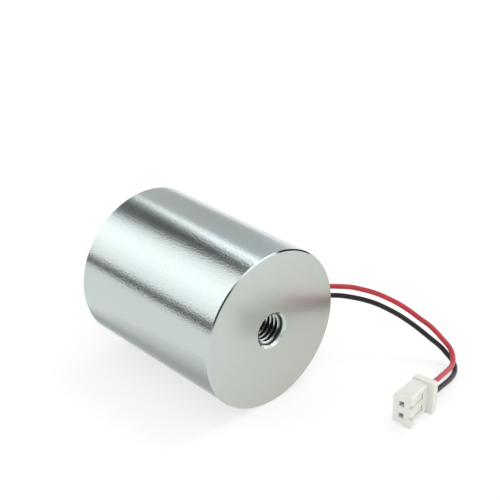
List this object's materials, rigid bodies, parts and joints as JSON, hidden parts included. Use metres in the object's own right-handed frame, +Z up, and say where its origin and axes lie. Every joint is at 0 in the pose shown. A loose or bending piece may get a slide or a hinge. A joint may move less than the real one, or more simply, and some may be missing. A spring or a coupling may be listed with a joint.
{
  "type": "holding electromagnet",
  "caption": "Cylindrical plated-steel holding electromagnet with a tapped hole in its mounting face, a pole face at the other end, and a short lead pair to a small crimp connector.",
  "frame": {"origin": "on the surface that the magnet lies on, under the middle of its shell", "axes": "+X along the magnet's axis and out of the tapped mounting face, +Z up, +Y to the side where the leads come out"},
  "size_m": [0.0478, 0.0405, 0.025],
  "materials": {
    "zinc_plate": "satin zinc plate with a fine orange-peel grain",
    "core_steel": "turned and plated",
    "bobbin_plastic": "moulded",
    "copper_wire": "enamelled",
    "tape_film": "film",
    "resin": "cast",
    "grommet_rubber": "moulded",
    "sleeve_plastic": "shrunk",
    "red_insulation": "extruded, satin",
    "black_insulation": "extruded, satin",
    "housing_plastic": "moulded",
    "contact_metal": "stamped and tinned"
  },
  "bodies": {
    "root": {"shell": "zinc_plate", "core": "core_steel", "bobbin": "bobbin_plastic", "winding": "copper_wire", "winding_tape": "tape_film", "potting_ring": "resin", "lead_grommet": "grommet_rubber", "red_splice_sleeve": "sleeve_plastic", "black_splice_sleeve": "sleeve_plastic", "red_lead": "red_insulation", "black_lead": "black_insulation", "connector_housing": "housing_plastic", "red_terminal": "contact_metal", "black_terminal": "contact_metal"}
  },
  "joints": []
}
